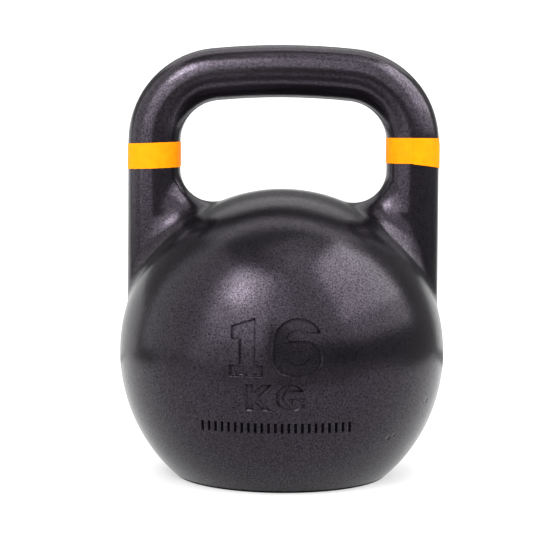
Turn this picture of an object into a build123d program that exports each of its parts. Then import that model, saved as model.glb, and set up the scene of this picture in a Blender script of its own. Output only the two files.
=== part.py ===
"""Competition kettlebell: a hollow steel casting closed by a screw plug, with two colour bands.

Units are millimetres. The origin is the centre of the flat base, +Z is up, +X runs along the
handle and -Y is the front, the side that carries the mass marking.
"""

import os
from math import asin, cos, degrees, radians, sqrt, tan

from build123d import *

# ---------------------------------------------------------------- driving dimensions
# Ball and base
ball_radius = 105.0
base_radius = 68.0  # where the flat base would cut the ball, before its edge is rounded
base_edge_radius = 2.0

# Handle
window_height = 59.0  # clear height between the ball's top and the grip
bar_radius = 17.0
horn_inset = 4.2  # how far the horns' outer sides stand inside the ball's width
corner_radius = 43.5
crown_radius = 450.0  # the grip's gentle upward bow
root_blend_radius = 20.9  # where each horn grows out of the ball, unless a band sits too low for it

# Hollow core
wall_thickness = 13.5
floor_thickness = 17.5
core_corner_radius = 12.0

# Screw plug that closes the core hole
plug_radius = 24.0
plug_collar_overhang = 3.5  # the collar's reach past the shank
plug_collar_height = 5.0
plug_reach = 2.0  # how far the shank's end stands inside the hollow
plug_edge_chamfer = 1.0
plug_recess = 0.8  # how far the plug's face stays above the base plane
socket_wall = 12.0  # from the shank's side to the hexagonal socket's flats
socket_depth = 10.0
seal_thickness = 2.0
thread_clearance = 0.10
seat_clearance = 0.40

# Trim ballast: shot in resin, set in the crown of the hollow
ballast_depth = 9.0
ballast_gap = 0.02  # keeps the two curved faces apart

# Colour bands, placed by the drop from the horns' upper ends to the middle of the tape
band_width = 16.4
band_thickness = 0.25
band_gap = 0.02
left_band_drop = 9.4
right_band_drop = 5.3
left_band_tilt = 2.4  # degrees, outer side low

# Recessed mass marking; its heights are measured from the ball's centre
marking_depth = 1.7
numeral_height = 34.5
numeral_stroke = 8.2
numeral_gap = 5.9
numeral_bottom_z = -3.1
unit_height = 16.4
unit_stroke = 4.5
unit_gap = 2.1
unit_bottom_z = -24.2
tick_row_length = 90.0
tick_height = 6.6
tick_width = 1.7
tick_count = 23
tick_row_bottom_z = -38.2

# ---------------------------------------------------------------- derived places
ball_centre_z = sqrt(ball_radius**2 - base_radius**2)
ball_centre = (0, 0, ball_centre_z)
rim_angle = degrees(asin(ball_centre_z / ball_radius))  # below the ball's equator

cavity_radius = ball_radius - wall_thickness
core_floor_drop = ball_centre_z - floor_thickness
core_floor_radius = sqrt(cavity_radius**2 - core_floor_drop**2)
core_floor_angle = degrees(asin(core_floor_drop / cavity_radius))

horn_x = ball_radius - horn_inset - bar_radius
grip_centre_z = ball_centre_z + ball_radius + window_height + bar_radius
crown_half_angle = degrees(asin((horn_x - corner_radius) / (crown_radius - corner_radius)))
crown_rise = crown_radius * (1 - cos(radians(crown_half_angle)))
corner_rise = corner_radius * cos(radians(crown_half_angle))
horn_top_z = grip_centre_z - crown_rise - corner_rise

plug_collar_radius = plug_radius + plug_collar_overhang
collar_top_z = plug_recess + plug_collar_height
collar_seat_z = collar_top_z + seal_thickness
plug_top_z = floor_thickness + plug_reach

ballast_skin_radius = cavity_radius - ballast_gap
ballast_lift = cavity_radius - ballast_depth  # from the ball's centre to the ballast's flat face
ballast_radius = sqrt(ballast_skin_radius**2 - ballast_lift**2)
ballast_angle = degrees(asin(ballast_lift / ballast_skin_radius))

band_inner_radius = bar_radius + band_gap
band_outer_radius = band_inner_radius + band_thickness
left_band_foot_z = horn_top_z - left_band_drop - band_width / 2 + bar_radius * tan(radians(left_band_tilt))
right_band_foot_z = horn_top_z - right_band_drop - band_width / 2

# The blend on a horn's inner side ends below the lower band, so the bands sit on the round bar.
horn_inner_x = horn_x - bar_radius
blend_room = min(left_band_foot_z, right_band_foot_z) - ball_centre_z
blend_limit = (horn_inner_x**2 + blend_room**2 - ball_radius**2) / (2 * (ball_radius + horn_inner_x))
blend_radius = min(root_blend_radius, blend_limit)

marking_plane = Plane(origin=ball_centre, x_dir=(1, 0, 0), z_dir=(0, -1, 0))


# ---------------------------------------------------------------- marking glyphs
# Each one is a plain block shape standing on y = 0, starting at x = 0. Its proportions are
# given in strokes and in parts of its height.
def numeral_one(height, stroke):
    """A 1 with a sloping flag and a foot; returns its sketch and width."""
    foot_width = 2.5 * stroke
    stem_left = 0.74 * stroke
    stem_right = stem_left + 1.17 * stroke
    flag_drop = 0.6 * stroke
    flag_left = 0.12 * stroke
    foot_height = 0.82 * stroke
    with BuildSketch() as glyph:
        with BuildLine():
            Polyline(
                (0, 0),
                (foot_width, 0),
                (foot_width, foot_height),
                (stem_right, foot_height),
                (stem_right, height),
                (flag_left, height - flag_drop),
                (flag_left, height - flag_drop - stroke),
                (stem_left, height - flag_drop - 0.9 * stroke),
                (stem_left, foot_height),
                (0, foot_height),
                close=True,
            )
        make_face()
    return glyph.sketch, foot_width


def oval_ring(width, height, stroke_x, stroke_y):
    """A ring centred on the origin, with fully rounded ends."""
    inner_width = width - 2 * stroke_x
    inner_height = height - 2 * stroke_y
    roundness = 0.49
    with BuildSketch() as ring:
        RectangleRounded(width, height, roundness * min(width, height))
        RectangleRounded(
            inner_width,
            inner_height,
            roundness * min(inner_width, inner_height),
            mode=Mode.SUBTRACT,
        )
    return ring.sketch


def numeral_six(height, stroke):
    """A 6: a tall ring opened on its right, and a bowl; returns its sketch and width."""
    width = 3.6 * stroke
    bowl_height = 0.62 * height
    opening_bottom = 0.31 * height
    opening_top = 0.74 * height
    bar = 0.92 * stroke
    with BuildSketch() as glyph:
        with Locations((width / 2, height / 2)):
            add(oval_ring(width, height, stroke, bar))
        with Locations((width, (opening_bottom + opening_top) / 2)):
            Rectangle(width, opening_top - opening_bottom, mode=Mode.SUBTRACT)
        with Locations((width / 2, bowl_height / 2)):
            add(oval_ring(width, bowl_height, stroke, bar))
    return glyph.sketch, width


def letter_k(height, stroke):
    """A K; returns its sketch and width."""
    width = 3.6 * stroke
    arm_width = 1.35 * stroke
    arm_root = 0.9 * stroke
    arm_foot = 0.3 * height
    with BuildSketch() as glyph:
        with Locations((stroke / 2, height / 2)):
            Rectangle(stroke, height)
        with BuildLine():
            Polyline(
                (arm_root, arm_foot),
                (width, height),
                (width - arm_width, height),
                (arm_root, arm_foot + arm_width),
                close=True,
            )
        arm = make_face()
        mirror(arm, about=Plane.XZ.offset(-height / 2))
    return glyph.sketch, width


def letter_g(height, stroke):
    """A G; returns its sketch and width."""
    width = 3.9 * stroke
    tongue_top = 0.5 * height
    tongue_width = 1.9 * stroke
    lip_height = tongue_top - stroke / 2
    with BuildSketch() as glyph:
        with Locations((width / 2, height / 2)):
            add(oval_ring(width, height, stroke, stroke))
        with Locations((width, (tongue_top + height - stroke) / 2)):
            Rectangle(0.9 * width, height - stroke - tongue_top, mode=Mode.SUBTRACT)
        with Locations((width - tongue_width / 2, tongue_top - stroke / 2)):
            Rectangle(tongue_width, stroke)
        with Locations((width - stroke / 2, tongue_top - lip_height / 2)):
            Rectangle(stroke, lip_height)
    return glyph.sketch, width


def centred_line(glyphs, gap, bottom):
    """Sets glyphs side by side in the open sketch, the whole line centred on x = 0."""
    total = sum(width for _, width in glyphs) + gap * (len(glyphs) - 1)
    x = -total / 2
    for sketch, width in glyphs:
        with Locations((x, bottom)):
            add(sketch)
        x += width + gap


# ---------------------------------------------------------------- marking cutter
# Reaches from the ball's skin down to one even depth.
with BuildPart() as marking_cutter:
    with BuildSketch(marking_plane):
        centred_line(
            [numeral_one(numeral_height, numeral_stroke), numeral_six(numeral_height, numeral_stroke)],
            numeral_gap,
            numeral_bottom_z,
        )
        centred_line(
            [letter_k(unit_height, unit_stroke), letter_g(unit_height, unit_stroke)],
            unit_gap,
            unit_bottom_z,
        )
        tick_pitch = (tick_row_length - tick_width) / (tick_count - 1)
        with Locations((0, tick_row_bottom_z + tick_height / 2)):
            with GridLocations(tick_pitch, 0, tick_count, 1):
                Rectangle(tick_width, tick_height)
    extrude(amount=ball_radius)
    with Locations(ball_centre):
        Sphere(ball_radius - marking_depth, mode=Mode.SUBTRACT)

# ---------------------------------------------------------------- handle centreline
with BuildLine(Plane.XZ) as handle_path:
    left_horn = Line((-horn_x, ball_centre_z), (-horn_x, horn_top_z))
    left_corner = JernArc(left_horn @ 1, left_horn % 1, corner_radius, crown_half_angle - 90)
    grip = JernArc(left_corner @ 1, left_corner % 1, crown_radius, -2 * crown_half_angle)
    right_corner = JernArc(grip @ 1, grip % 1, corner_radius, crown_half_angle - 90)
    Line(right_corner @ 1, (horn_x, ball_centre_z))

bar_plane = Plane(origin=handle_path.line @ 0, x_dir=(0, 1, 0), z_dir=(0, 0, 1))

# ---------------------------------------------------------------- body casting
with BuildPart() as body_casting:
    # Ball with its flat base; the revolve's seam lies at the back.
    with BuildSketch(Plane.YZ):
        with BuildLine():
            Line((0, 0), (base_radius, 0))
            CenterArc((0, ball_centre_z), ball_radius, -rim_angle, 90 + rim_angle)
            Line((0, ball_centre_z + ball_radius), (0, 0))
        make_face()
    revolve(axis=Axis.Z)
    fillet(body_casting.faces().sort_by(Axis.Z)[0].edges(), base_edge_radius)

    # Horns, corners and grip: one round bar all the way.
    with BuildSketch(bar_plane):
        Circle(bar_radius)
    sweep(path=handle_path.line)

    # The two curves where the horns enter the ball are the highest free-form edges.
    horn_roots = body_casting.edges().filter_by(GeomType.BSPLINE).sort_by(Axis.Z)[-2:]
    fillet(horn_roots, blend_radius)

    # Hollow core with a flat floor and a rounded corner round it.
    with BuildSketch(Plane.YZ):
        with BuildLine():
            Line((0, floor_thickness), (core_floor_radius, floor_thickness))
            CenterArc((0, ball_centre_z), cavity_radius, -core_floor_angle, 90 + core_floor_angle)
            Line((0, ball_centre_z + cavity_radius), (0, floor_thickness))
        core_profile = make_face()
        fillet(core_profile.vertices().sort_by(Axis.X)[-1], core_corner_radius)
    revolve(axis=Axis.Z, mode=Mode.SUBTRACT)

    # Stepped hole for the screw plug, opened from the base.
    with Locations(Plane.XY.rotated((180, 0, 0))):
        CounterBoreHole(
            radius=plug_radius + thread_clearance,
            counter_bore_radius=plug_collar_radius + seat_clearance,
            counter_bore_depth=collar_seat_z,
            depth=floor_thickness,
        )

    add(marking_cutter.part, mode=Mode.SUBTRACT)

# ---------------------------------------------------------------- screw plug and its seal
with BuildPart() as core_plug:
    with BuildSketch(Plane.XY.offset(plug_recess)):
        Circle(plug_collar_radius)
    extrude(amount=plug_collar_height)
    chamfer(core_plug.faces().sort_by(Axis.Z)[0].edges(), plug_edge_chamfer)
    with BuildSketch(Plane.XY.offset(collar_top_z)):
        Circle(plug_radius)
    extrude(amount=plug_top_z - collar_top_z)
    chamfer(core_plug.faces().sort_by(Axis.Z)[-1].edges(), plug_edge_chamfer)
    with BuildSketch(Plane.XY.offset(plug_recess)):
        RegularPolygon(plug_radius - socket_wall, 6, major_radius=False)
    extrude(amount=socket_depth, mode=Mode.SUBTRACT)

with BuildPart() as plug_seal:
    with BuildSketch(Plane.XY.offset(collar_top_z)):
        Circle(plug_collar_radius)
        Circle(plug_radius + thread_clearance, mode=Mode.SUBTRACT)
    extrude(amount=seal_thickness)

# ---------------------------------------------------------------- trim ballast
with BuildPart() as trim_ballast:
    with BuildSketch(Plane.YZ.shift_origin(ball_centre)):
        with BuildLine():
            Line((0, ballast_lift), (ballast_radius, ballast_lift))
            CenterArc((0, 0), ballast_skin_radius, ballast_angle, 90 - ballast_angle)
            Line((0, ballast_skin_radius), (0, ballast_lift))
        make_face()
    revolve(axis=Axis.Z)


# ---------------------------------------------------------------- colour bands
def colour_band(x, drop, tilt):
    """Tape once round the horn at x, following the bar; its edges are tilted about Y."""
    with BuildPart() as band:
        with BuildSketch(bar_plane):
            Circle(band_outer_radius)
            Circle(band_inner_radius, mode=Mode.SUBTRACT)
        sweep(path=handle_path.line)
        with Locations(Location((x, 0, horn_top_z - drop), (0, tilt, 0))):
            Box(4 * bar_radius, 4 * bar_radius, band_width, mode=Mode.INTERSECT)
    return band


left_band = colour_band(-horn_x, left_band_drop, -left_band_tilt)
right_band = colour_band(horn_x, right_band_drop, 0)

# ---------------------------------------------------------------- export
pieces = {
    "body_casting": body_casting,
    "core_plug": core_plug,
    "plug_seal": plug_seal,
    "trim_ballast": trim_ballast,
    "left_band": left_band,
    "right_band": right_band,
}
os.makedirs("parts", exist_ok=True)
for name, piece in pieces.items():
    piece.part.label = name
    export_step(piece.part, f"parts/{name}.step")
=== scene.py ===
"""Looks of the kettlebell: powder-coated casting, tape bands, plug, and a plain white studio."""

import math

import bmesh
import bpy
import numpy as np
from mathutils import Matrix, Vector, noise
from mathutils.bvhtree import BVHTree


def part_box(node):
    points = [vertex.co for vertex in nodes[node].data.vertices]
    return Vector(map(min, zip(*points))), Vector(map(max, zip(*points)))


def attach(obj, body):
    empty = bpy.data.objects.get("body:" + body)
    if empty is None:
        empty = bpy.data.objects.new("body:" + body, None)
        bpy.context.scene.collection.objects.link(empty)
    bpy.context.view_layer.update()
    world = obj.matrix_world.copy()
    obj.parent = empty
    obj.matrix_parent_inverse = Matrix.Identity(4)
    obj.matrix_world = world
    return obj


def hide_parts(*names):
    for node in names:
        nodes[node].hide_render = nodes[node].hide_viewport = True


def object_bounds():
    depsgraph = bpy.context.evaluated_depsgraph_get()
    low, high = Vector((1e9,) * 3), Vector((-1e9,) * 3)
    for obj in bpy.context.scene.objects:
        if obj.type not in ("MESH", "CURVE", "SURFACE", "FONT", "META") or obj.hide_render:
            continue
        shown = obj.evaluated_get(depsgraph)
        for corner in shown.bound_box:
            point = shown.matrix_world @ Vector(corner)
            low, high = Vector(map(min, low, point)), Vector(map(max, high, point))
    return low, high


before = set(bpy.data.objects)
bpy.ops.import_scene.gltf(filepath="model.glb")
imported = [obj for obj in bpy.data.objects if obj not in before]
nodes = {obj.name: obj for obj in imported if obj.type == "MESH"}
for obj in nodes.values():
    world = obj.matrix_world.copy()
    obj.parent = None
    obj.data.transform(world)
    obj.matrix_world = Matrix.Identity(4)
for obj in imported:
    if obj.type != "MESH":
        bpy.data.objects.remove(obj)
cad_low, cad_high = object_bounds()

MM = 0.001
base_z = cad_low.z


# ---------------------------------------------------------------- material tools
def new_material(name, **inputs):
    """A material whose Principled sockets hold the given constants."""
    material = bpy.data.materials.new(name)
    material.use_nodes = True
    shader = material.node_tree.nodes["Principled BSDF"]
    for key, value in inputs.items():
        shader.inputs[key.replace("_", " ")].default_value = value
    return material


def add(material, kind, links=(), **settings):
    """Adds a node: settings are properties or input values, links are (input, socket) pairs."""
    node = material.node_tree.nodes.new(kind)
    for key, value in settings.items():
        if hasattr(node, key):
            setattr(node, key, value)
        else:
            node.inputs[key.replace("_", " ")].default_value = value
    for target, socket in links:
        material.node_tree.links.new(socket, node.inputs[target])
    return node


def feed(material, socket, target):
    """Links a socket to one of the Principled shader's inputs."""
    shader = material.node_tree.nodes["Principled BSDF"]
    material.node_tree.links.new(socket, shader.inputs[target])


def where(material):
    """The point being shaded, in the piece's own coordinates."""
    return add(material, "ShaderNodeTexCoord").outputs["Object"]


def noise_field(material, place, scale, detail=2.0):
    """Noise from 0 to 1 with the given number of cells per metre."""
    return add(
        material,
        "ShaderNodeTexNoise",
        [("Vector", place)],
        Scale=scale,
        Detail=detail,
    ).outputs["Fac"]


def remap(material, socket, low, high, to_low, to_high):
    """Maps low to to_low and high to to_high, and holds the value at those ends."""
    return add(
        material,
        "ShaderNodeMapRange",
        [("Value", socket)],
        From_Min=low,
        From_Max=high,
        To_Min=to_low,
        To_Max=to_high,
    ).outputs["Result"]


def product(material, first, second):
    node = add(material, "ShaderNodeMath", [(0, first), (1, second)], operation="MULTIPLY")
    return node.outputs["Value"]


def bump(material, height, distance, under=None):
    """A normal raised by height over distance, on top of the normal under."""
    links = [("Height", height)]
    if under is not None:
        links.append(("Normal", under))
    return add(material, "ShaderNodeBump", links, Distance=distance).outputs["Normal"]


def mix_colour(material, factor, first, second):
    """Blends two colours, each a socket or a constant."""
    node = add(material, "ShaderNodeMix", data_type="RGBA")
    material.node_tree.links.new(factor, node.inputs["Factor"])
    for name, colour in (("A", first), ("B", second)):
        socket = [s for s in node.inputs if s.name == name and s.type == "RGBA"][0]
        if isinstance(colour, tuple):
            socket.default_value = (*colour, 1)
        else:
            material.node_tree.links.new(colour, socket)
    return [s for s in node.outputs if s.type == "RGBA"][0]


def dress(piece, material):
    piece.data.materials.clear()
    piece.data.materials.append(material)


# ---------------------------------------------------------------- materials
GRAIN, LUMPS, WAVES, PATCHES = 1050.0, 380.0, 90.0, 30.0  # the coat's noise, in cells per metre
GLOSS_FROM_HEIGHT, GLOSS_TO_HEIGHT = 150 * MM, 195 * MM  # the coat reflects more and more strongly between these heights
TOP_GLOSS_FACTOR = 1.5  # how many times stronger the coat reflects at the top
CREVICE_REACH = 2.0 * MM  # how near another surface has to be for the painted crevice shade to dim the coat's reflection
CREVICE_SAMPLES = 12
NICK_DEPTH = 0.5 * MM
NICK_FLAT = 0.35  # the share of a dent's reach that is at full depth
NICKS = (  # where the coat took a knock, and how far each dent reaches
    ((56 * MM, -13 * MM, 272 * MM), 2.6 * MM),
    ((61 * MM, -14 * MM, 270 * MM), 1.8 * MM),
    ((92 * MM, -44 * MM, 55 * MM), 2.2 * MM),
    ((93 * MM, -42 * MM, 49 * MM), 1.6 * MM),
    ((68 * MM, -66 * MM, 35 * MM), 2.0 * MM),
    ((71 * MM, -63 * MM, 36 * MM), 1.5 * MM),
)


def powder_coat():
    """Black powder coat: sandy grain that glints unevenly, with painted shade dimming its reflection in
    crevices, and reflecting more strongly towards the top.
    """
    m = new_material("powder_coat", Specular_Tint=(0.92, 0.80, 1.0, 1))
    place = where(m)
    grain = noise_field(m, place, GRAIN)
    lumps = noise_field(m, place, LUMPS)
    waves = noise_field(m, place, WAVES)
    patches = noise_field(m, place, PATCHES, detail=4.0)
    colour = mix_colour(
        m,
        remap(m, patches, 0.35, 0.65, 0.0, 1.0),
        (0.0028, 0.0023, 0.0030),
        (0.0044, 0.0037, 0.0047),
    )
    feed(m, colour, "Base Color")
    feed(m, remap(m, patches, 0.3, 0.7, 0.19, 0.23), "Roughness")
    glint = remap(m, grain, 0.3, 0.7, 0.09, 0.46)
    # Painted shade: ambient occlusion dims the coat's reflection in crevices and recesses, such as the
    # marking's walls, where shade falls.
    crevice_occlusion = add(m, "ShaderNodeAmbientOcclusion", samples=CREVICE_SAMPLES, Distance=CREVICE_REACH)
    painted_crevice_shade = remap(m, crevice_occlusion.outputs["AO"], 0.5, 0.95, 0.0, 1.0)
    height = add(m, "ShaderNodeSeparateXYZ", [("Vector", place)]).outputs["Z"]
    # The coat's reflection grows stronger with height, up to the top.
    rising_gloss = remap(m, height, GLOSS_FROM_HEIGHT, GLOSS_TO_HEIGHT, 1.0, TOP_GLOSS_FACTOR)
    gloss_with_painted_shade = product(m, product(m, glint, painted_crevice_shade), rising_gloss)
    feed(m, gloss_with_painted_shade, "Specular IOR Level")
    dents = None
    for spot, reach in NICKS:
        distance = add(m, "ShaderNodeVectorMath", [(0, place)], operation="DISTANCE")
        distance.inputs[1].default_value = spot
        dent = remap(m, distance.outputs["Value"], NICK_FLAT * reach, reach, 0.0, 1.0)
        dents = dent if dents is None else product(m, dents, dent)
    normal = bump(m, dents, NICK_DEPTH)
    normal = bump(m, waves, 0.04 * MM, normal)
    normal = bump(m, lumps, 0.03 * MM, normal)
    normal = bump(m, grain, 0.035 * MM, normal)
    feed(m, normal, "Normal")
    return m


def tape():
    """Yellow vinyl tape: nearly matt, slightly mottled."""
    m = new_material("band_tape", Specular_IOR_Level=0.06)
    place = where(m)
    mottle = noise_field(m, place, 220.0, detail=3.0)
    colour = mix_colour(
        m, remap(m, mottle, 0.35, 0.65, 0.0, 1.0), (0.92, 0.25, 0.0), (0.92, 0.285, 0.0)
    )
    feed(m, colour, "Base Color")
    feed(m, remap(m, mottle, 0.3, 0.7, 0.45, 0.6), "Roughness")
    feed(m, bump(m, noise_field(m, place, 900.0), 0.01 * MM), "Normal")
    return m


def plated_steel():
    """Zinc-plated steel with turning marks round the plug's axis."""
    m = new_material("plated_steel", Metallic=1.0)
    place = where(m)
    rings = add(
        m,
        "ShaderNodeTexWave",
        [("Vector", place)],
        wave_type="RINGS",
        rings_direction="Z",
        Scale=260.0,
        Distortion=0.6,
        Detail=2.0,
    ).outputs["Fac"]
    patches = noise_field(m, place, 70.0, detail=4.0)
    colour = mix_colour(
        m, remap(m, patches, 0.35, 0.7, 0.0, 1.0), (0.46, 0.46, 0.47), (0.33, 0.32, 0.30)
    )
    feed(m, colour, "Base Color")
    feed(m, remap(m, patches, 0.3, 0.7, 0.28, 0.42), "Roughness")
    feed(m, bump(m, rings, 0.02 * MM), "Normal")
    return m


def speckled(name, first, second, scale, low, high, depth):
    """A material mottled between two colours and from roughness low to high."""
    m = new_material(name)
    place = where(m)
    mottle = noise_field(m, place, scale, detail=3.0)
    feed(m, mix_colour(m, remap(m, mottle, 0.4, 0.6, 0.0, 1.0), first, second), "Base Color")
    feed(m, remap(m, mottle, 0.3, 0.7, low, high), "Roughness")
    feed(m, bump(m, mottle, depth), "Normal")
    return m


coat = powder_coat()
tape_material = tape()
dress(nodes["body_casting"], coat)
dress(nodes["core_plug"], plated_steel())
dress(
    nodes["plug_seal"],
    speckled("seal_rubber", (0.02, 0.02, 0.02), (0.03, 0.03, 0.03), 500.0, 0.55, 0.75, 0.02 * MM),
)
dress(
    nodes["trim_ballast"],
    speckled("shot_in_resin", (0.10, 0.08, 0.06), (0.28, 0.26, 0.24), 420.0, 0.35, 0.8, 0.4 * MM),
)

# ---------------------------------------------------------------- marking's soft walls
BALL_RADIUS = (cad_high.x - cad_low.x) / 2
BASE_RADIUS = 68.0 * MM  # where the flat base would cut the ball
BALL_CENTRE = Vector((0, 0, base_z + math.sqrt(BALL_RADIUS**2 - BASE_RADIUS**2)))
SKIN_HALF_WIDTH = 50.0 * MM
SKIN_BOTTOM, SKIN_TOP = -43.0 * MM, 36.0 * MM  # from the ball's centre
SKIN_LIFT = 0.03 * MM  # the skin's height over the ball
SKIN_SINK = 0.16 * MM  # how far its border is lowered, which takes it into the ball
SKIN_BORDER = 4.0 * MM  # the width over which it is lowered
SKIN_STEP = 0.4 * MM  # the size of its faces
READINGS = 2  # depth readings per face, each way
WALL_RUN = 0.4 * MM  # how far a recess wall slopes inwards


def recess_depths(columns, rows, left, bottom, step):
    """The casting's depth below the ball's skin on a grid seen from the front."""
    tree = BVHTree.FromObject(nodes["body_casting"], bpy.context.evaluated_depsgraph_get())
    before = cad_low.y - 10 * MM
    depths = np.zeros((rows, columns))
    for row in range(rows):
        for column in range(columns):
            x, z = left + column * step, bottom + row * step
            hit = tree.ray_cast(Vector((x, before, BALL_CENTRE.z + z)), Vector((0, 1, 0)))[0]
            depths[row, column] = BALL_RADIUS - (hit - BALL_CENTRE).length
    return depths


def blurred(field, reach):
    """The field averaged over a disc of the given radius, in cells."""
    total, weight = np.zeros_like(field), 0
    for row in range(-reach, reach + 1):
        for column in range(-reach, reach + 1):
            if row * row + column * column <= reach * reach:
                total += np.roll(field, (row, column), (0, 1))
                weight += 1
    return total / weight


def marking_skin():
    """A fine skin over the front of the ball, dipping into the marking with sloping walls."""
    fine = SKIN_STEP / READINGS
    columns = int(2 * SKIN_HALF_WIDTH / fine) + 1
    rows = int((SKIN_TOP - SKIN_BOTTOM) / fine) + 1
    depths = recess_depths(columns, rows, -SKIN_HALF_WIDTH, SKIN_BOTTOM, fine)
    floor_depth = depths.max()
    inside = (depths > floor_depth / 2).astype(float)
    slope = np.clip(2 * blurred(inside, round(WALL_RUN / fine)) - 1, 0, 1)
    sunk = floor_depth * slope * slope * (3 - 2 * slope)
    mesh = bmesh.new()
    grid = []
    for row in range(0, rows, READINGS):
        line = []
        for column in range(0, columns, READINGS):
            x, z = -SKIN_HALF_WIDTH + column * fine, SKIN_BOTTOM + row * fine
            out = Vector((x, -math.sqrt(BALL_RADIUS**2 - x * x - z * z), z)).normalized()
            border = fine * min(row, column, rows - 1 - row, columns - 1 - column)
            fade = 1 - min(border / SKIN_BORDER, 1)
            lift = SKIN_LIFT - SKIN_SINK * fade - sunk[row, column]
            line.append(mesh.verts.new(BALL_CENTRE + out * (BALL_RADIUS + lift)))
        grid.append(line)
    for under, over in zip(grid, grid[1:]):
        for k in range(len(under) - 1):
            mesh.faces.new((under[k], under[k + 1], over[k + 1], over[k]))
    data = bpy.data.meshes.new("marking_skin")
    mesh.to_mesh(data)
    mesh.free()
    data.shade_smooth()
    piece = bpy.data.objects.new("marking_skin", data)
    bpy.context.collection.objects.link(piece)
    return piece


skin = marking_skin()
dress(skin, coat)
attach(skin, "root")

# ---------------------------------------------------------------- tape bands
BAR_RADIUS = 17.0 * MM
CORNER_RADIUS = 43.5 * MM
GRIP_TO_HORN = 45.5 * MM  # from the grip's axis at its highest down to the straight horns' ends
HORN_TOP = cad_high.z - BAR_RADIUS - GRIP_TO_HORN
TAPE_THICKNESS = 0.25 * MM
TAPE_LIFT = 0.02 * MM  # keeps the tape off the bar
LAYER_SPACING = 1.15  # how far a second layer stands out, in thicknesses
OVERLAP_RAMP = 0.03  # the share of the winding in which the tape climbs onto its start
RAGGED = 0.07 * MM
WRINKLE = 0.03 * MM
THIN_EDGE = 0.35  # the share of its thickness that the tape loses at its edges
TAPE_STEPS, TAPE_COLUMNS = 360, 8


def on_bar(axis_x, angle, radius, z):
    """A point on the bar's skin; angle 0 is the front, positive towards +X. Follows the corner."""
    side = 1 if axis_x > 0 else -1
    across, depth = radius * math.sin(angle), -radius * math.cos(angle)
    if z <= HORN_TOP:
        return Vector((axis_x + across, depth, z))
    reach = CORNER_RADIUS + side * across
    turn = math.asin((z - HORN_TOP) / reach)
    centre_x = axis_x - side * CORNER_RADIUS
    return Vector((centre_x + side * reach * math.cos(turn), depth, HORN_TOP + reach * math.sin(turn)))


def wound_tape(name, axis_x, width, middle, start, sweep, layer, seed):
    """Tape wound round a horn from the angle start through sweep.

    share runs from 0 to 1 along the tape: middle(angle, share) is the height of its middle and
    layer(share) how many layers it lies on.
    """
    mesh = bmesh.new()
    rings = []
    for i in range(TAPE_STEPS + 1):
        share = i / TAPE_STEPS
        angle = start + sweep * share
        lift = BAR_RADIUS + TAPE_LIFT + layer(share) * TAPE_THICKNESS * LAYER_SPACING
        ring = []
        for outside in (False, True):
            for j in range(TAPE_COLUMNS + 1):
                s = 1 - j / TAPE_COLUMNS if outside else j / TAPE_COLUMNS
                edge = 2 * abs(s - 0.5)
                ragged = RAGGED * noise.noise(Vector((share * 40, s * 2, seed)))
                z = middle(angle, share) + (s - 0.5) * width + ragged
                wrinkle = WRINKLE * (1 + noise.noise(Vector((share * 60, s * 3, seed + 7))))
                outer = TAPE_THICKNESS * (1 - THIN_EDGE * edge**8) + wrinkle if outside else 0.0
                ring.append(mesh.verts.new(on_bar(axis_x, angle, lift + outer, z)))
        rings.append(ring)
    count = len(rings[0])
    for a, b in zip(rings, rings[1:]):
        for k in range(count):
            n = (k + 1) % count
            mesh.faces.new((a[k], a[n], b[n], b[k]))
    mesh.faces.new(rings[0][::-1])
    mesh.faces.new(rings[-1])
    bmesh.ops.recalc_face_normals(mesh, faces=mesh.faces)
    data = bpy.data.meshes.new(name)
    mesh.to_mesh(data)
    mesh.free()
    data.shade_smooth()
    data.set_sharp_from_angle(angle=math.radians(40))
    piece = bpy.data.objects.new(name, data)
    bpy.context.collection.objects.link(piece)
    return piece


def smooth(x):
    """Rises softly from 0 at 0 to 1 at 1."""
    x = min(max(x, 0.0), 1.0)
    return x * x * (3 - 2 * x)


def band_middle(node):
    """The x and z of a band's middle."""
    low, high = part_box(node)
    return (low.x + high.x) / 2, (low.z + high.z) / 2


left_x, left_z = band_middle("left_band")
right_x, right_z = band_middle("right_band")
right_low, right_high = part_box("right_band")
TAPE_WIDTH = right_high.z - right_low.z  # the right band is level, so its box is as tall as the tape
LEFT_TILT = math.radians(2.4)
LEFT_SAG = 0.25 * MM
LEFT_OVERLAP, RIGHT_OVERLAP = 0.9, 0.74  # the share of each winding where it meets its own start
SLIDE_DEPTH = 3.1 * MM
SLIDE_FROM, SLIDE_OVER = 0.45, 0.25  # where the right tape starts to slide low, and over how much
RISE_FROM, RISE_OVER = 0.79, 0.21  # the same for its rise to the loose end
RISE_CURVE, RISE_SHARE = 1.3, 0.9  # how late the rise comes, and how much of the slide it takes back


def left_middle(angle, share):
    """Tilted, outer side low, with a little sag at the front; the same in every layer."""
    tilt = BAR_RADIUS * math.sin(angle) * math.tan(LEFT_TILT)
    return left_z + tilt - LEFT_SAG * math.cos(angle)


def right_middle(angle, share):
    """Level over the front, sliding low round the back and rising again to the loose end."""
    slide = smooth((share - SLIDE_FROM) / SLIDE_OVER)
    rise = min(max((share - RISE_FROM) / RISE_OVER, 0.0), 1.0) ** RISE_CURVE
    return right_z - SLIDE_DEPTH * slide * (1 - RISE_SHARE * rise)


left_tape = wound_tape(
    "left_band_tape",
    left_x,
    TAPE_WIDTH,
    left_middle,
    start=math.radians(150),
    sweep=math.radians(390),
    layer=lambda share: smooth((share - LEFT_OVERLAP) / OVERLAP_RAMP),
    seed=3,
)
right_tape = wound_tape(
    "right_band_tape",
    right_x,
    TAPE_WIDTH,
    right_middle,
    start=math.radians(112),
    sweep=math.radians(-472),
    layer=lambda share: smooth((share - RIGHT_OVERLAP) / OVERLAP_RAMP),
    seed=11,
)
for piece, node in ((left_tape, "left_band"), (right_tape, "right_band")):
    dress(piece, tape_material)
    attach(piece, "root")
    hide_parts(node)
    piece.visible_glossy = False  # the coat beside a band mirrors no yellow

# ---------------------------------------------------------------- studio
centre = (cad_low + cad_high) / 2
FLOOR_GAP = 0.02 * MM  # keeps the floor off the base


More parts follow.
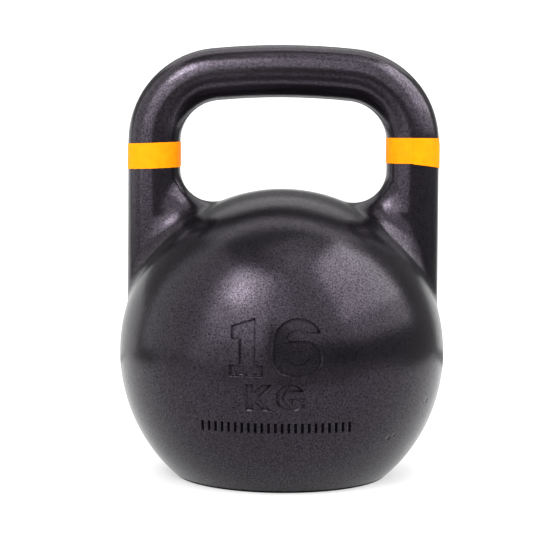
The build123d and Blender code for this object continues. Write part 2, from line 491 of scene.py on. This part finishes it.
def sheet(name, left, right, profile, mirrored=True):
    """A sheet from left to right that follows (y, z) points; mirrored says if the coat reflects it."""
    mesh = bmesh.new()
    rows = [
        [mesh.verts.new((x, y, base_z - FLOOR_GAP + z)) for x in (left, right)] for y, z in profile
    ]
    for a, b in zip(rows, rows[1:]):
        mesh.faces.new((a[0], a[1], b[1], b[0]))
    data = bpy.data.meshes.new(name)
    mesh.to_mesh(data)
    mesh.free()
    data.shade_smooth()
    piece = bpy.data.objects.new(name, data)
    bpy.context.collection.objects.link(piece)
    dress(piece, pale)
    piece.visible_glossy = mirrored


pale = new_material(
    "pale_floor",
    Base_Color=(0.66, 0.66, 0.66, 1),
    Roughness=0.8,
    Specular_IOR_Level=0.1,
    Emission_Color=(1, 1, 1, 1),
    Emission_Strength=0.33,
)
TABLE_SIDE, TABLE_FRONT, TABLE_BACK = 0.6, -0.30, 0.45  # the floor that shows in the coat
FLOOR_SIDE, FLOOR_FRONT = 1.0, -0.45
BEND_START, BEND_RADIUS, BEND_STEPS, WALL_TOP = 1.2, 0.8, 12, 3.2
table_profile = [(TABLE_FRONT, 0.0), (TABLE_BACK, 0.0)]
sheet("floor_table", -TABLE_SIDE, TABLE_SIDE, table_profile)
sheet("floor_left", -FLOOR_SIDE, -TABLE_SIDE, table_profile, mirrored=False)
sheet("floor_right", TABLE_SIDE, FLOOR_SIDE, table_profile, mirrored=False)
front_profile = [(FLOOR_FRONT, 0.0), (TABLE_FRONT, 0.0)]
sheet("floor_front", -FLOOR_SIDE, FLOOR_SIDE, front_profile, mirrored=False)
wall_profile = [(TABLE_BACK, 0.0), (BEND_START, 0.0)]
for i in range(1, BEND_STEPS + 1):
    turn = math.radians(90) * i / BEND_STEPS
    wall_profile.append((BEND_START + BEND_RADIUS * math.sin(turn), BEND_RADIUS * (1 - math.cos(turn))))
wall_profile.append((BEND_START + BEND_RADIUS, WALL_TOP))
sheet("studio_wall", -FLOOR_SIDE, FLOOR_SIDE, wall_profile, mirrored=False)

# The room round the set is dim, but where the set ends the camera sees white.
ROOM_GLOW, BACKING_GLOW = 0.33, 1.05
world = bpy.data.worlds.new("studio")
bpy.context.scene.world = world
world.use_nodes = True
room = world.node_tree.nodes["Background"]
room.inputs["Color"].default_value = (1, 1, 1, 1)
room.inputs["Strength"].default_value = ROOM_GLOW
backing = world.node_tree.nodes.new("ShaderNodeBackground")
backing.inputs["Color"].default_value = (1, 1, 1, 1)
backing.inputs["Strength"].default_value = BACKING_GLOW
choice = world.node_tree.nodes.new("ShaderNodeMixShader")
ray = world.node_tree.nodes.new("ShaderNodeLightPath")
world.node_tree.links.new(ray.outputs["Is Camera Ray"], choice.inputs["Fac"])
world.node_tree.links.new(room.outputs["Background"], choice.inputs[1])
world.node_tree.links.new(backing.outputs["Background"], choice.inputs[2])
world.node_tree.links.new(
    choice.outputs["Shader"], world.node_tree.nodes["World Output"].inputs["Surface"]
)


def area_light(name, place, facing, width, height, radiance, lights_floor=True):
    """A rectangular light at place, shining along facing.

    The camera doesn't see it. Without lights_floor it lights no matt surface and only shows in
    glossy ones.
    """
    light = bpy.data.lights.new(name, "AREA")
    light.shape = "RECTANGLE"
    light.size, light.size_y = width, height
    light.energy = math.pi * width * height * radiance
    lamp = bpy.data.objects.new(name, light)
    lamp.location = place
    lamp.rotation_euler = facing.to_track_quat("-Z", "Y").to_euler()
    lamp.visible_camera = False
    lamp.visible_diffuse = lights_floor
    bpy.context.collection.objects.link(lamp)


def panel(name, left, right, low, high, distance, radiance, lights_floor):
    """An upright light panel facing the object.

    left, right, low and high are the angles it fills as seen from the object's middle, in
    degrees. Azimuth 0 is the front and positive is to the right.
    """
    middle = math.radians((left + right) / 2)
    outward = Vector((math.sin(middle), -math.cos(middle), 0))
    bottom, top = (distance * math.tan(math.radians(e)) for e in (low, high))
    width = 2 * distance * math.tan(math.radians(right - left) / 2)
    place = centre + outward * distance + Vector((0, 0, (bottom + top) / 2))
    area_light(name, place, -outward, width, top - bottom, radiance, lights_floor)


# A tall key on the left, brighter upwards, and a strip on the right; a dim gap lies between them.
for name, left, right, low, high, distance, radiance, lights_floor in (
    ("foot_left", -95, 0, -24, -6, 1.5, 0.9, False),
    ("foot_right", 0, 95, -22, -6, 1.5, 0.5, False),
    ("key_left_foot", -60, -10, -6, 8, 1.5, 1.8, True),
    ("key_left_low", -55, -10, 8, 21, 1.5, 4.0, True),
    ("key_left", -55, -10, 21, 38, 1.5, 5.4, True),
    ("key_left_high", -55, -10, 38, 54, 1.5, 8.2, True),
    ("key_left_top", -55, -10, 54, 58, 1.5, 12.0, False),
    ("key_left_core", -44, -26, 34, 52, 1.48, 13.0, False),
    ("key_left_edge", -10, 9, 22, 60, 1.5, 2.8, True),
    ("front_gap", 9, 50, 10, 74, 1.52, 1.9, True),
    ("key_right_low", 50, 108, 10, 24, 1.5, 2.6, True),
    ("key_right", 47, 108, 24, 46, 1.5, 6.2, True),
    ("key_right_top", 45, 108, 46, 65, 1.5, 8.0, False),
    ("side_left", -110, -55, -4, 60, 1.52, 1.3, True),
    ("rear_rim", 142, 242, -10, 14, 1.5, 1.0, False),
):
    panel(name, left, right, low, high, distance, radiance, lights_floor)
for name, offset, width, height, radiance in (
    ("overhead", Vector((0, 0.9, 1.5)), 2.4, 1.4, 1.1),
    ("top_front", Vector((0.2, -0.35, 1.6)), 0.9, 0.6, 1.4),
):
    area_light(name, centre + offset, -offset, width, height, radiance)
area_light("wall_wash", Vector((0, 0.7, 2.6)), Vector((0, 0.85, -1)), 3.0, 0.8, 1.1)

# ---------------------------------------------------------------- camera
# Almost level with the grip, tipped slightly down, a little right of the front.
CAMERA_DISTANCE = 1.0937
CAMERA_HEIGHT = 0.2179
CAMERA_AZIMUTH = math.radians(1.964)
CAMERA_PITCH = math.radians(2.5)
CAMERA_ROLL = math.radians(0.439)
SENSOR_WIDTH, FOCAL_LENGTH = 36.0, 110.29  # millimetres
SHIFT_X, SHIFT_Y = -0.0141, -0.1156
camera_data = bpy.data.cameras.new("camera")
camera_data.sensor_width = SENSOR_WIDTH
camera_data.lens = FOCAL_LENGTH
camera_data.shift_x = SHIFT_X
camera_data.shift_y = SHIFT_Y
camera = bpy.data.objects.new("camera", camera_data)
camera.location = (
    CAMERA_DISTANCE * math.sin(CAMERA_AZIMUTH),
    -CAMERA_DISTANCE * math.cos(CAMERA_AZIMUTH),
    base_z + CAMERA_HEIGHT,
)
camera.rotation_mode = "QUATERNION"
camera.rotation_quaternion = (
    Matrix.Rotation(CAMERA_AZIMUTH, 4, "Z")
    @ Matrix.Rotation(math.pi / 2 - CAMERA_PITCH, 4, "X")
    @ Matrix.Rotation(CAMERA_ROLL, 4, "Z")
).to_quaternion()
bpy.context.collection.objects.link(camera)
bpy.context.scene.camera = camera
bpy.context.scene.view_settings.view_transform = "Standard"
